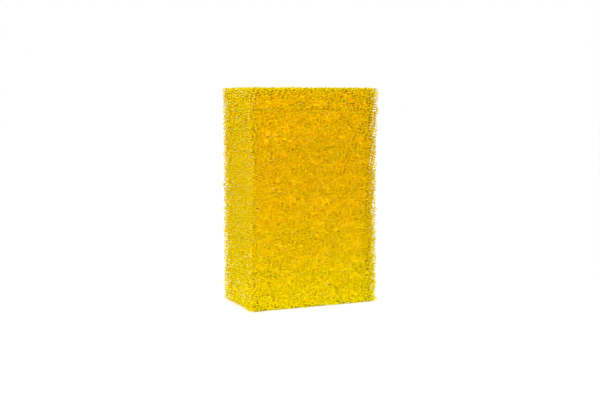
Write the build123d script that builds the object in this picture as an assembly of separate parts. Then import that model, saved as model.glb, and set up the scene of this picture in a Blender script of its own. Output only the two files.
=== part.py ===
# Cleaning sponge: one rectangular block of coarse open-cell foam, knife-cut on all six sides.
#
# Frame: the block stands on a small end. +Z is up its length, X runs across the
# broad face, Y runs through the thickness and the broad faces look along -Y and +Y.
# The origin is the middle of the end it stands on. Lengths are in millimetres.
#
# The solid here is the block's outer envelope. The open cells are left to the finish:
# they neither change how the block rests nor how it meets other things.

from build123d import *
import os

# Driving dimensions
block_width = 68.0  # across the broad face, along X
block_thickness = 40.0  # between the two broad faces, along Y
block_height = 110.0  # between the two ends, along Z
right_side_hollow = 0.8  # how far the +X side draws in at mid-height
left_side_hollow = 0.3  # how far the -X side draws in at mid-height
edge_round = 0.6  # the foam's cut edges are slightly blunt


def broad_outline(width, height, right_hollow, left_hollow):
    """Outline of the broad face: flat ends, and sides bowed slightly inward by the cut."""
    half = width / 2
    middle = height / 2
    with BuildLine() as outline:
        Line((-half, 0), (half, 0))
        ThreePointArc((half, 0), (half - right_hollow, middle), (half, height))
        Line((half, height), (-half, height))
        ThreePointArc((-half, height), (-half + left_hollow, middle), (-half, 0))
    return outline


def foam_block(width, thickness, height, right_hollow, left_hollow, blunt):
    """The outline carried through the thickness, with every cut edge blunted."""
    back_face = Plane.XZ.offset(-thickness / 2)  # Plane.XZ faces along -Y
    with BuildPart() as block:
        with BuildSketch(back_face):
            with BuildLine():
                add(broad_outline(width, height, right_hollow, left_hollow).line)
            make_face()
        extrude(amount=thickness)
        fillet(block.edges(), radius=blunt)
    return block.part


sponge = foam_block(
    block_width, block_thickness, block_height, right_side_hollow, left_side_hollow, edge_round
)

os.makedirs("parts", exist_ok=True)
export_step(sponge, "parts/foam_block.step")
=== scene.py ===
import itertools
import math
import time
from functools import partial

import bmesh
import bpy
import numpy as np
from mathutils import Matrix, Vector
from mathutils.kdtree import KDTree


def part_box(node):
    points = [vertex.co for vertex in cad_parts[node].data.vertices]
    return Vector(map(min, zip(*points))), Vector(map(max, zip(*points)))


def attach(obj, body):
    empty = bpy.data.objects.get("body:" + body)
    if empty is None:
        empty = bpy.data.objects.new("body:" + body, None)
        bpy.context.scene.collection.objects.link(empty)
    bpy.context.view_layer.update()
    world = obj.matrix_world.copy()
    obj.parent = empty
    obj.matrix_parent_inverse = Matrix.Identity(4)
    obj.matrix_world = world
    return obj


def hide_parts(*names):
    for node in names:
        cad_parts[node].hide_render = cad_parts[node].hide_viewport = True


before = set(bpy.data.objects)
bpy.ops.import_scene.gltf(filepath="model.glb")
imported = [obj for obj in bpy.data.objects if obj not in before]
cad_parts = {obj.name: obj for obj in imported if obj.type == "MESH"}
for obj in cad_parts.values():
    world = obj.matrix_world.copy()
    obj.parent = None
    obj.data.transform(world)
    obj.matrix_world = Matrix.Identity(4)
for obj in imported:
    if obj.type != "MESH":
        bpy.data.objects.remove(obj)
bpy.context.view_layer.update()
blockLow, blockHigh = (np.array(corner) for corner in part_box("foam_block"))
middle, half = (blockLow + blockHigh) / 2, (blockHigh - blockLow) / 2
began = time.time()


def say(stage):
    print(f"{time.time() - began:6.1f} s  {stage}", flush=True)


# The foam: a network of struts round open cells, cut to a block. Lengths are in metres.
foam = {
    "pitch": 0.0022,  # side of the cube that holds two cells
    "stretch": (1.28, 1.05, 0.72),  # cells are long along X and flat along Z
    "turns": (0.65, 0.40, 0.89),  # so that no row of cells lines up with a face
    "jitter": 0.25,  # how far a cell may lie from its place in the lattice, in pitches
    "strut": 0.00027,  # from the middle of a node, where struts meet, to its corners
    "strutSpread": 0.2,  # how much the nodes differ in size, as a share
    "openLow": np.array((0.0015, 0.0014, 0.0004)),  # depth of the open cells at -X, -Y and the foot
    "openHigh": np.array((0.0017, 0.0009, 0.0010)),  # and at +X, +Y and the top
    "depthSpread": 0.0003,  # how much that depth varies from cell to cell
    "coreRound": 0.0035,  # the closed part behind them is rounded along the block's edges
    "proudLow": np.array((0.0004, 0.0003, 0.0)),  # how far each cut face stands out of the plain block
    "proudHigh": np.array((0.0013, 0.0001, 0.0)),
    "tear": (0.0012, 0.0008, 0.0012),  # the longest stub that a torn strut leaves, by axis
    "shortest": 0.03,  # the least of a cut strut that is left, as a share of its length
    "outerCells": 0.0026,  # cells this far outside still reach the cut
    "margin": 0.0030,  # room for their neighbours, and for those of the deepest ones
    "swirl": 0.0005,  # the rows of cells drift by this much, over the next length
    "swirlLength": 0.021,
    "wave": 0.00018,  # the cut faces aren't quite flat
    "waveLength": 0.009,
    "waveRatio": 0.7,  # each wave is crossed by one that is longer by this
    "waveFade": 4,  # how fast the waves die away towards the middle, as a power
    "rightHollow": 0.0008,  # how far the +X side draws in at mid-height
    "leftHollow": 0.0003,
    "slabs": 6,  # the block is held in this many meshes, one on another
    "seed": 11,
}
random = np.random.default_rng(foam["seed"])


def placed(points):
    # from the cells' own lattice to the block
    turn = np.eye(3)
    for angle, axis in zip(foam["turns"], "XYZ"):
        turn = turn @ np.array(Matrix.Rotation(angle, 3, axis))
    at = points @ turn * foam["pitch"] * np.array(foam["stretch"])
    k = 2 * math.pi / foam["swirlLength"]
    x, y, z = (k * at).T
    drift = [np.sin(y) * np.cos(z + 2), np.sin(z + 1) * np.cos(x + 3), np.sin(x + 2) * np.cos(y)]
    return middle + at + foam["swirl"] * np.stack(drift, 1)


def depthIn(at, low, high, rounding=0.0):
    # how deep a place lies inside a box whose edges are rounded
    q = np.maximum(low - at, at - high) + rounding
    return rounding - np.linalg.norm(np.maximum(q, 0), axis=1) - np.minimum(q.max(1), 0)


def coreDepth(at):
    # how deep a place lies behind the open cells
    low, high = blockLow + foam["openLow"], blockHigh - foam["openHigh"]
    below = np.array((0, 0, foam["coreRound"]))
    sides = depthIn(at, low - below, high, foam["coreRound"])
    return np.minimum(sides, at[:, 2] - low[2])


def latticeSites():
    # cube corners and cube middles, each shaken a little
    spare = 1.15  # cells that are flat along Z need more steps that way
    reach = int(np.linalg.norm(half) / foam["pitch"] * spare) + 4
    steps = np.arange(-reach, reach + 1)
    corners = np.stack(np.meshgrid(steps, steps, steps, indexing="ij"), -1).reshape(-1, 1, 3)
    sites = np.concatenate([corners, corners + 0.5], 1).reshape(-1, 3)
    at = placed(sites)
    outside = -depthIn(at, blockLow, blockHigh) > foam["outerCells"] + foam["margin"]
    sites = sites[~outside & (coreDepth(at) < foam["margin"])]
    return sites + random.uniform(-foam["jitter"], foam["jitter"], sites.shape)


def neighbours(sites, count=34):
    # the sites nearest to each site, nearest first
    tree = KDTree(len(sites))
    for i, site in enumerate(sites):
        tree.insert(site, i)
    tree.balance()
    return np.array([[found[1] for found in tree.find_n(site, count + 1)][1:] for site in sites])


def cross(a, b):
    return np.stack([a[:, i] * b[:, j] - a[:, j] * b[:, i] for i, j in ((1, 2), (2, 0), (0, 1))], 1)


def cellCorners(sites, near, most=20, widest=1.6, farthest=0.95, batch=500):
    # A corner is where four cells meet: equally far from four sites, with no other site nearer.
    # Each is looked for once, from the first of its four sites. Lengths here are in pitches.
    ia, ib, ic = np.array(list(itertools.combinations(range(most), 3))).T
    order = np.argsort(near <= np.arange(len(sites))[:, None], axis=1, kind="stable")[:, :most]
    later = np.take_along_axis(near, order, 1)
    quads, corners = [], []
    for start in range(0, len(sites), batch):
        rows = np.arange(start, min(start + batch, len(sites)))
        to = sites[later[rows]] - sites[rows, None]
        far = (to**2).sum(2) / 2
        apart = far[:, :, None] + far[:, None] - to @ to.transpose(0, 2, 1)
        pair = (apart < widest**2 / 2) & (later[rows] > rows[:, None])[:, :, None]
        pair &= pair.transpose(0, 2, 1)
        row, triple = np.nonzero(pair[:, ia, ib] & pair[:, ib, ic] & pair[:, ia, ic])
        pick = [(row, i[triple]) for i in (ia, ib, ic)]
        a, b, c = (to[i] for i in pick)
        bc, ca, ab = cross(b, c), cross(c, a), cross(a, b)
        at = sum(far[i][:, None] * n for i, n in zip(pick, (bc, ca, ab)))
        size = (a * bc).sum(1)
        good = (at**2).sum(1) < (farthest * size) ** 2
        row, triple, at = row[good], triple[good], at[good] / size[good, None]
        around = sites[near[rows]] - sites[rows, None]
        reach = (around**2).sum(2) / 2
        # the nearest few sites rule out most, so the rest are asked about less often
        for some in (slice(0, 8), slice(8, None)):
            clear = ((at[:, None] * around[row, some]).sum(2) <= reach[row, some] + 1e-9).all(1)
            row, triple, at = row[clear], triple[clear], at[clear]
        found = [later[rows[row], i[triple]] for i in (ia, ib, ic)]
        quads.append(np.stack([rows[row]] + found, 1))
        corners.append(at + sites[rows[row]])
    return np.sort(np.concatenate(quads), 1), np.concatenate(corners)


def layFoam():
    # Every strut runs along the line where three cells meet, between two corners.
    sites = latticeSites()
    quads, corners = cellCorners(sites, neighbours(sites))
    say(f"{len(sites)} cells laid out, with {len(quads)} corners")
    siteAt, cornerAt = placed(sites), placed(corners)
    closed = coreDepth(siteAt) + random.normal(0, foam["depthSpread"], len(sites)) > 0
    opened = ~closed & (depthIn(siteAt, blockLow, blockHigh) > -foam["outerCells"])

    triples = quads[:, [[1, 2, 3], [0, 2, 3], [0, 1, 3], [0, 1, 2]]].reshape(-1, 3)
    key = (triples[:, 0] * len(sites) + triples[:, 1]) * len(sites) + triples[:, 2]
    order = np.argsort(key, kind="stable")
    same = np.nonzero(key[order][1:] == key[order][:-1])[0]
    cells, ends = triples[order[same]], np.stack([order[same], order[same + 1]], 1) // 4
    kept = (opened[cells].sum(1) >= 2) & (opened | closed)[cells].all(1)
    cells, ends = cells[kept], ends[kept]
    # the three cells go round the strut one way, seen from its second end
    a, b, c = (sites[cells[:, i]] for i in range(3))
    along = corners[ends[:, 1]] - corners[ends[:, 0]]
    back = (cross(b - a, c - a) * along).sum(1) < 0
    ends[back] = ends[back, ::-1]

    # at a corner, a strut's outline has a point in each of its cells
    toCell = siteAt[quads] - cornerAt[:, None]
    toCell /= np.linalg.norm(toCell, axis=2, keepdims=True)
    size = foam["strut"] * (1 + foam["strutSpread"] * random.uniform(-1, 1, (len(quads), 1, 1)))
    outline = cornerAt[:, None] + toCell * size
    return dict(sites=siteAt, quads=quads, corners=cornerAt, cells=cells, ends=ends, outline=outline,
                opened=opened, closed=closed, tear=random.uniform(0, 1, len(cells)))


def struts(net, low, high):
    # One closed network of the struts in a box. Where a strut leaves the box it is cut flat.
    quads, corners, ends, cells = (net[k] for k in ("quads", "corners", "ends", "cells"))
    inside = ((corners > low) & (corners < high)).all(1)
    slot = [[(quads[ends[:, e]] == cells[:, [i]]).argmax(1) for i in range(3)] for e in (0, 1)]
    corner = np.stack([np.stack([ends[:, e] * 4 + slot[e][i] for i in range(3)], 1) for e in (0, 1)], 1)
    outline = net["outline"].reshape(-1, 3)
    endInside = inside[ends]
    points, rings = [outline], [corner[endInside.all(1)]]
    for e in (0, 1):
        leaving = endInside[:, e] & ~endInside[:, 1 - e]
        start, stop = outline[corner[leaving, e]], outline[corner[leaving, 1 - e]]
        a, b = corners[ends[leaving, e]], corners[ends[leaving, 1 - e]]
        # the side of the box that the strut's own line meets first
        wall = np.where(b > a, high, low)
        with np.errstate(divide="ignore", invalid="ignore"):
            share = np.where((b > high) | (b < low), (wall - a) / (b - a), np.inf)
        axis = share.argmin(1)
        # each of the strut's three lines has its own way to go to that side
        row = np.arange(len(axis))
        line = row[:, None], [0, 1, 2], axis[:, None]
        run = (stop - start)[line]
        share = (wall[row, axis][:, None] - start[line]) / np.where(np.abs(run) < 1e-6, 1e-6, run)
        # a torn strut stands out of the cut, but not where one slab meets the next
        torn = (axis < 2) | (wall[:, 2] == blockHigh[2] + foam["proudHigh"][2])
        stub = net["tear"][leaving] * torn * np.array(foam["tear"])[axis] / np.linalg.norm(b - a, axis=1)
        met = start + (stop - start) * (share + stub[:, None]).clip(foam["shortest"], 1)[..., None]
        met[..., 2] = np.maximum(met[..., 2], blockLow[2])
        first = sum(len(p) for p in points)
        made = first + np.arange(met.size // 3).reshape(-1, 3)
        points.append(met.reshape(-1, 3))
        ring = [corner[leaving, e], made] if e == 0 else [made, corner[leaving, e]]
        rings.append(np.stack(ring, 1))
    points, rings = np.concatenate(points), np.concatenate(rings)
    u, v = rings[:, 0], rings[:, 1]
    sides = [np.stack([u[:, i], u[:, j], v[:, j], v[:, i]], 1) for i, j in ((0, 1), (1, 2), (2, 0))]

    # A cut end is closed flat, and so is each side of a corner that carries no strut.
    count = len(outline)
    cutEnds = [v[(v >= count).all(1)], u[(u >= count).all(1)][:, ::-1]]
    facing = np.array([[1, 2, 3], [0, 3, 2], [0, 1, 3], [0, 2, 1]])
    used = np.zeros((len(quads), 4), bool)
    for ring in (u, v):
        ring = ring[(ring < count).all(1)]
        opposite = 6 - (ring % 4).sum(1)
        used[ring[:, 0] // 4, opposite] = True
    node, side = np.nonzero(used.any(1)[:, None] & ~used)
    bare = node[:, None] * 4 + facing[side]
    q = net["sites"][quads[node]]
    a, b, c = (q[np.arange(len(node)), facing[side, i]] for i in range(3))
    away = (a + b + c) / 3 - q[np.arange(len(node)), side]
    wrong = (cross(b - a, c - a) * away).sum(1) < 0
    bare[wrong] = bare[wrong, ::-1]

    tris = np.concatenate(cutEnds + [bare])
    return points, np.concatenate(sides), tris


def closedCells(net):
    # the outer walls of the cells behind the open ones
    quads, sites = net["quads"], net["sites"]
    rows, ones, others = [], [], []
    for i, j in itertools.permutations(range(4), 2):
        wall = np.nonzero(net["opened"][quads[:, i]] & net["closed"][quads[:, j]])[0]
        rows.append(wall)
        ones.append(quads[wall, i])
        others.append(quads[wall, j])
    row, p, q = (np.concatenate(x) for x in (rows, ones, others))
    _, group = np.unique(p * len(sites) + q, return_inverse=True)
    count = np.bincount(group)
    corner = net["corners"][row]
    centre = np.stack([np.bincount(group, corner[:, i]) / count for i in range(3)], 1)[group]
    # a wall's corners are put in order round its middle
    axis = sites[p] - sites[q]
    noWallFaces = (0.31, 0.52, 0.79)
    across = cross(axis, np.full_like(axis, noWallFaces))
    across /= np.linalg.norm(across, axis=1, keepdims=True)
    up = cross(axis, across) / np.linalg.norm(axis, axis=1, keepdims=True)
    arm = corner - centre
    angle = np.arctan2((arm * up).sum(1), (arm * across).sum(1))
    used, index = np.unique(row[np.lexsort((angle, group))], return_inverse=True)
    stops = np.cumsum(count)
    walls = [index[stop - n:stop].tolist() for stop, n in zip(stops, count) if n > 2]
    mesh = bpy.data.meshes.new("closedCells")
    mesh.from_pydata(net["corners"][used].tolist(), [], walls)
    return mesh


def shaped(points):
    # the hollow sides and the slight waves of the cut faces
    x, y, z = ((points - middle) / half).T
    k = 2 * math.pi / foam["waveLength"]
    wave = np.stack([np.sin(k * points[:, (i + 1) % 3] + 2 * i)
                     * np.sin(k * foam["waveRatio"] * points[:, (i + 2) % 3] + i) for i in range(3)], 1)
    hollow = np.where(x > 0, -foam["rightHollow"], foam["leftHollow"]) * (1 - z**2) * np.abs(x)
    moved = points + foam["wave"] * wave * np.abs((points - middle) / half) ** foam["waveFade"]
    moved[:, 0] += hollow
    moved[:, 2] = np.maximum(moved[:, 2], blockLow[2])
    return moved


def slabHeights(net):
    # so that each slab holds as many struts as the next
    at = net["corners"][net["ends"]].mean(1)
    inside = ((at > blockLow) & (at < blockHigh)).all(1)
    heights = np.quantile(at[inside, 2], np.linspace(0, 1, foam["slabs"] + 1))
    heights[[0, -1]] = blockLow[2], blockHigh[2] + foam["proudHigh"][2]
    return heights


def foamSlab(net, cells, heights, index):
    # One of the slabs, from the bottom up, each closed where it meets the next
    low, high = blockLow - foam["proudLow"], blockHigh + foam["proudHigh"]
    low[2], high[2] = heights[index:index + 2]
    points, sides, tris = struts(net, low, high)
    used, place = np.unique(np.concatenate([sides.ravel(), tris.ravel()]), return_inverse=True)
    mesh = bpy.data.meshes.new(f"foam_slab_{index + 1}")
    faces = place[:sides.size].reshape(-1, 4).tolist() + place[sides.size:].reshape(-1, 3).tolist()
    mesh.from_pydata(points[used].tolist(), [], faces)

    # the closed cells within the slab, closed again where they are cut
    bm = bmesh.new()
    bm.from_mesh(cells)
    for height, normal in ((low[2], -1), (high[2], 1)):
        cut = bmesh.ops.bisect_plane(bm, geom=bm.verts[:] + bm.edges[:] + bm.faces[:], dist=1e-8,
                                     plane_co=(0, 0, height), plane_no=(0, 0, normal), clear_outer=True)
        rim = [e for e in cut["geom_cut"] if isinstance(e, bmesh.types.BMEdge) and e.is_boundary]
        bmesh.ops.holes_fill(bm, edges=rim, sides=0)
    bmesh.ops.holes_fill(bm, edges=[e for e in bm.edges if e.is_boundary], sides=0)
    stillOpen = [e for e in bm.edges if e.is_boundary]
    if stillOpen:
        bmesh.ops.triangle_fill(bm, edges=stillOpen, use_beauty=True)
    bmesh.ops.triangulate(bm, faces=[f for f in bm.faces if len(f.verts) > 4])
    # two triangles back to back cancel out
    sameCorners = {}
    for face in bm.faces:
        sameCorners.setdefault(frozenset(face.verts), []).append(face)
    doubled = [face for faces in sameCorners.values() if len(faces) > 1 for face in faces]
    bmesh.ops.delete(bm, geom=doubled, context="FACES")

    bm.from_mesh(mesh)
    for vert, at in zip(bm.verts, shaped(np.array([v.co for v in bm.verts]))):
        vert.co = at
    bm.to_mesh(mesh)
    openEdges = sum(e.is_boundary for e in bm.edges)
    bm.free()
    slab = bpy.data.objects.new(mesh.name, mesh)
    bpy.context.scene.collection.objects.link(slab)
    mesh.shade_smooth()
    mesh.calc_loop_triangles()
    say(f"slab {index + 1}: {len(mesh.loop_triangles)} triangles, {openEdges} open edges")
    return slab


net = layFoam()
say(f"{len(net['ends'])} struts")
cells = closedCells(net)
heights = slabHeights(net)
slabs = [foamSlab(net, cells, heights, i) for i in range(foam["slabs"])]
bpy.data.meshes.remove(cells)


# Finish of the foam
finish = {
    "face": [  # height up the block in metres, and the struts' colour there; the paler yellow towards the foot, and a little at the top, is painted light from the floor coming up through the foam
        (0.000, (0.995, 0.735, 0.001)),
        (0.014, (0.995, 0.672, 0.001)),
        (0.030, (0.995, 0.592, 0.001)),
        (0.060, (0.99, 0.522, 0.001)),
        (0.098, (0.985, 0.512, 0.001)),
        (0.110, (0.98, 0.542, 0.001)),
    ],
    "deepPaintedLight": (1.01, 0.95, 0.3),  # painted light deeper in the foam, as a share of each colour: more orange, for light scattered among the struts, with the red lifted against the shade in the pores
    "deepAt": 0.0018,  # how deep that is
    "narrowFoot": (1.0, 0.84, 1.0),  # the foot of the -X side is a warmer yellow: painted light, toning down the paler painted foot light on that side
    "narrowFootTop": 0.05,
    "narrowDepth": 0.004,  # how far in from the -X side its painted light and its extra painted glints go
    "grain": (0.0, 0.03, 0.0),  # how much each colour varies from strut to strut
    "grainSize": 1300,  # a larger number makes it finer
    "grainStretch": (0.75, 0.9, 1.15),
    "grainFrom": 0.35,  # the noise below this is all dull
    "grainGain": 3.3,  # how fast it turns bright
    "paintedGlint": (1.0, 0.78, 0.55),  # painted glints: small pale spots in the colour, standing in for highlights on the struts
    "paintedGlintSize": 1000,
    "paintedGlintFrom": 0.73,  # a smaller number makes more of them
    "paintedGlintGain": 22.0,  # how sharp they are
    "narrowPaintedGlints": 0.07,  # more painted glints on the -X side, where the key light falls
    "roughness": 0.5,
    "specular": 0.01,
    "glow": 1.0,  # light that goes through the struts, and how far
    "glowReach": (0.0012, 0.0011, 0.0003),
}


def newMaterial(name):
    material = bpy.data.materials.new(name)
    material.use_nodes = True
    nodes, links = material.node_tree.nodes, material.node_tree.links
    return material, nodes, links


def setInput(links, socket, value):
    if isinstance(value, bpy.types.NodeSocket):
        links.new(value, socket)
    else:
        socket.default_value = value


def mathNode(nodes, links, operation, *values, clamp=False):
    node = nodes.new("ShaderNodeMath")
    node.operation, node.use_clamp = operation, clamp
    for socket, value in zip(node.inputs, values):
        setInput(links, socket, value)
    return node.outputs[0]


def mixColour(nodes, links, share, one, other):
    node = nodes.new("ShaderNodeMix")
    node.data_type = "RGBA"
    links.new(share, node.inputs["Factor"])
    colours = [socket for socket in node.inputs if socket.type == "RGBA"]
    for socket, value in zip(colours, (one, other)):
        setInput(links, socket, value)
    return next(socket for socket in node.outputs if socket.type == "RGBA")


def scaled(nodes, links, colour, shares):
    node = nodes.new("ShaderNodeVectorMath")
    node.operation = "MULTIPLY"
    links.new(colour, node.inputs[0])
    node.inputs[1].default_value = shares
    return node.outputs[0]


def tinted(nodes, links, colour, share, tint):
    return mixColour(nodes, links, share, colour, scaled(nodes, links, colour, tint))


def noise(nodes, links, place, size, detail):
    node = nodes.new("ShaderNodeTexNoise")
    node.inputs["Scale"].default_value = size
    node.inputs["Detail"].default_value = detail
    links.new(place, node.inputs["Vector"])
    return node.outputs[0]


def objectPlace(nodes, links):
    place = nodes.new("ShaderNodeTexCoord").outputs["Object"]
    split = nodes.new("ShaderNodeSeparateXYZ")
    links.new(place, split.inputs[0])
    return place, split.outputs


def yellowFoam():
    material, nodes, links = newMaterial("yellowFoam")
    shader = nodes["Principled BSDF"]
    shader.inputs["Roughness"].default_value = finish["roughness"]
    shader.inputs["Specular IOR Level"].default_value = finish["specular"]
    shader.inputs["Subsurface Weight"].default_value = finish["glow"]
    shader.inputs["Subsurface Radius"].default_value = finish["glowReach"]
    shader.inputs["Subsurface Scale"].default_value = 1.0
    place, (x, y, z) = objectPlace(nodes, links)
    calc = partial(mathNode, nodes, links)

    # painted light: the struts' colour by height, paler yellow towards the foot and a little at the top,
    # where more light falls
    height = nodes.new("ShaderNodeValToRGB")
    links.new(calc("DIVIDE", z, float(blockHigh[2])), height.inputs[0])
    stops = height.color_ramp.elements
    while len(stops) < len(finish["face"]):
        stops.new(0.5)
    for stop, (at, shade) in zip(stops, finish["face"]):
        stop.position, stop.color = at / float(blockHigh[2]), (*shade, 1)
    colour = height.outputs[0]

    # depth under the nearest of the six faces, from 0 at the surface to 1, for the painted light deeper
    # in the foam
    under = []
    for axis, value in enumerate((x, y, z)):
        off = calc("ABSOLUTE", calc("SUBTRACT", value, float(middle[axis])))
        under.append(calc("SUBTRACT", float(half[axis]), off))
    nearest = calc("MINIMUM", calc("MINIMUM", under[0], under[1]), under[2])
    depth = calc("DIVIDE", nearest, finish["deepAt"], clamp=True)
    # painted light: the deeper foam is more orange, its red lifted against the shade in the pores
    colour = tinted(nodes, links, colour, depth, finish["deepPaintedLight"])

    # the -X side, and the foot of it, where the painted foot light is toned down
    inward = calc("DIVIDE", calc("SUBTRACT", x, float(blockLow[0])), finish["narrowDepth"])
    side = calc("SUBTRACT", 1.0, inward, clamp=True)
    low = calc("SUBTRACT", 1.0, calc("DIVIDE", z, finish["narrowFootTop"]), clamp=True)
    colour = tinted(nodes, links, colour, calc("MULTIPLY", side, low), finish["narrowFoot"])

    stretched = nodes.new("ShaderNodeMapping")
    stretched.inputs["Scale"].default_value = finish["grainStretch"]
    links.new(place, stretched.inputs["Vector"])
    grain = noise(nodes, links, stretched.outputs[0], finish["grainSize"], 0.0)
    more = calc("MULTIPLY", calc("SUBTRACT", grain, finish["grainFrom"]), finish["grainGain"], clamp=True)
    dull = scaled(nodes, links, colour, [1 - g for g in finish["grain"]])
    bright = scaled(nodes, links, colour, [1 + g for g in finish["grain"]])
    colour = mixColour(nodes, links, more, dull, bright)

    # painted glints: pale spots that stand in for highlights on the struts, more of them on the -X side
    paintedGlint = noise(nodes, links, place, finish["paintedGlintSize"], 1.0)
    level = calc("ADD", paintedGlint, calc("MULTIPLY", side, finish["narrowPaintedGlints"]))
    paintedGlintShare = calc("MULTIPLY", calc("SUBTRACT", level, finish["paintedGlintFrom"]), finish["paintedGlintGain"], clamp=True)
    colour = mixColour(nodes, links, paintedGlintShare, colour, (*finish["paintedGlint"], 1))
    links.new(colour, shader.inputs["Base Color"])
    return material


yellow = yellowFoam()
for slab in slabs:
    slab.data.materials.append(yellow)
    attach(slab, "root")
    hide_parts("foam_block")


def bakeMap(mesh):
    # every face has a square of its own on the map
    faces = len(mesh.polygons)
    side = math.ceil(math.sqrt(faces))
    start, total = np.empty(faces, int), np.empty(faces, int)
    mesh.polygons.foreach_get("loop_start", start)
    mesh.polygons.foreach_get("loop_total", total)
    face = np.repeat(np.arange(faces), total)
    turn = np.arange(len(face)) - start[face]
    angle = 2 * math.pi * turn / total[face] + math.pi / 4
    at = np.stack([face % side, face // side], 1) + 0.5
    at += 0.6 * np.stack([np.cos(angle), np.sin(angle)], 1)
    layer = mesh.uv_layers.new(name="OFBake")
    layer.uv.foreach_set("vector", (at / side).astype(np.float32).ravel())


for slab in slabs:
    bakeMap(slab.data)
say("maps laid")

# Studio
studio = {
    "floorSize": 3.0,
    "paper": 0.93,  # how white the floor is
    "paperGlow": 1.04,  # its own light, as it is seen
    "paperGlowShare": 0.93,  # the rest is the plain floor, with the block's shadow on it
    "paperLift": 1.6,  # its own light, as it falls on the foot of the block
    "paperLiftShare": 0.8,
    "paperLiftReach": 0.10,  # how far from the block the floor gives that light
    "contact": 0.003,  # the floor's own light comes in over this distance
    "contactInset": 0.001,  # from this far inside the block's edge
    "world": 0.58,  # how much light comes from all round
    "lamps": [  # name, place, what it points at, size and watts
        ("keyLight", (-0.38, -0.44, 0.17), (0, 0, 0.06), 0.25, 2.3),
        ("fillLight", (0.15, -0.6, 0.25), (0, 0, 0.06), 0.3, 0.7),
        ("topLight", (-0.1, 0.1, 0.7), (0, 0, 0.1), 0.5, 1.2),
    ],
    "camera": (-0.2094, -0.4795, 0.1072),
    "look": (0.3989, 0.9109, -0.1042),
    "lens": 60.84,
}


def straightRays(nodes, calc):
    # 1 where a thing is seen, straight or in a gloss or through glass, and 0 where it only gives light
    rays = nodes.new("ShaderNodeLightPath").outputs
    seen = calc("MAXIMUM", rays["Is Camera Ray"], rays["Is Glossy Ray"])
    return calc("MAXIMUM", seen, rays["Is Transmission Ray"])


def whitePaper():
    material, nodes, links = newMaterial("whitePaper")
    shader = nodes["Principled BSDF"]
    shader.inputs["Base Color"].default_value = (*[studio["paper"]] * 3, 1)
    shader.inputs["Roughness"].default_value = 0.9
    shader.inputs["Specular IOR Level"].default_value = 0.0
    white = nodes.new("ShaderNodeEmission")
    calc = partial(mathNode, nodes, links)
    seen = straightRays(nodes, calc)
    unseen = calc("SUBTRACT", 1.0, seen)
    # under the block the paper is only as bright as what reaches it
    across = objectPlace(nodes, links)[1]
    off = [calc("SUBTRACT", calc("ABSOLUTE", across[i]), float(half[i]) - studio["contactInset"])
           for i in range(2)]
    outside = calc("MAXIMUM", off[0], off[1])
    beyond = calc("DIVIDE", outside, studio["contact"], clamp=True)
    near = calc("SUBTRACT", 1.0, calc("DIVIDE", outside, studio["paperLiftReach"]), clamp=True)
    glow = calc("MULTIPLY", seen, studio["paperGlow"])
    lift = calc("MULTIPLY", unseen, studio["paperLift"])
    links.new(calc("ADD", glow, lift), white.inputs["Strength"])
    glowShare = calc("MULTIPLY", seen, studio["paperGlowShare"])
    liftShare = calc("MULTIPLY", unseen, calc("MULTIPLY", near, studio["paperLiftShare"]))
    mix = nodes.new("ShaderNodeMixShader")
    links.new(calc("MULTIPLY", calc("ADD", glowShare, liftShare), beyond), mix.inputs[0])
    links.new(shader.outputs[0], mix.inputs[1])
    links.new(white.outputs[0], mix.inputs[2])
    links.new(mix.outputs[0], nodes["Material Output"].inputs["Surface"])
    return material


def makeFloor():
    bm = bmesh.new()
    bmesh.ops.create_grid(bm, x_segments=1, y_segments=1, size=studio["floorSize"])
    bmesh.ops.translate(bm, verts=bm.verts, vec=(0, 0, float(blockLow[2])))
    mesh = bpy.data.meshes.new("floor")
    bm.to_mesh(mesh)
    bm.free()
    floor = bpy.data.objects.new("floor", mesh)
    bpy.context.scene.collection.objects.link(floor)
    mesh.materials.append(whitePaper())


def areaLight(name, at, to, size, watts):
    light = bpy.data.lights.new(name, "AREA")
    light.size, light.energy = size, watts
    lamp = bpy.data.objects.new(name, light)
    bpy.context.scene.collection.objects.link(lamp)
    lamp.location = at
    lamp.rotation_euler = (Vector(to) - Vector(at)).to_track_quat("-Z", "Y").to_euler()


def makeWorld():
    world = bpy.data.worlds.new("studioWorld")
    bpy.context.scene.world = world
    world.use_nodes = True
    nodes, links = world.node_tree.nodes, world.node_tree.links
    background = nodes["Background"]
    background.inputs["Color"].default_value = (1, 1, 1, 1)
    calc = partial(mathNode, nodes, links)
    more = calc("MULTIPLY", straightRays(nodes, calc), 1.0 - studio["world"])
    links.new(calc("ADD", studio["world"], more), background.inputs["Strength"])


def makeCamera():
    data = bpy.data.cameras.new("camera")
    data.lens, data.sensor_width = studio["lens"], 36.0
    camera = bpy.data.objects.new("camera", data)
    bpy.context.scene.collection.objects.link(camera)
    camera.location = studio["camera"]
    camera.rotation_euler = Vector(studio["look"]).to_track_quat("-Z", "Y").to_euler()
    bpy.context.scene.camera = camera


makeFloor()
makeWorld()
for lamp in studio["lamps"]:
    areaLight(*lamp)
makeCamera()
bpy.context.scene.view_settings.view_transform = "Standard"

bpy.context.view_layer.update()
say("done")
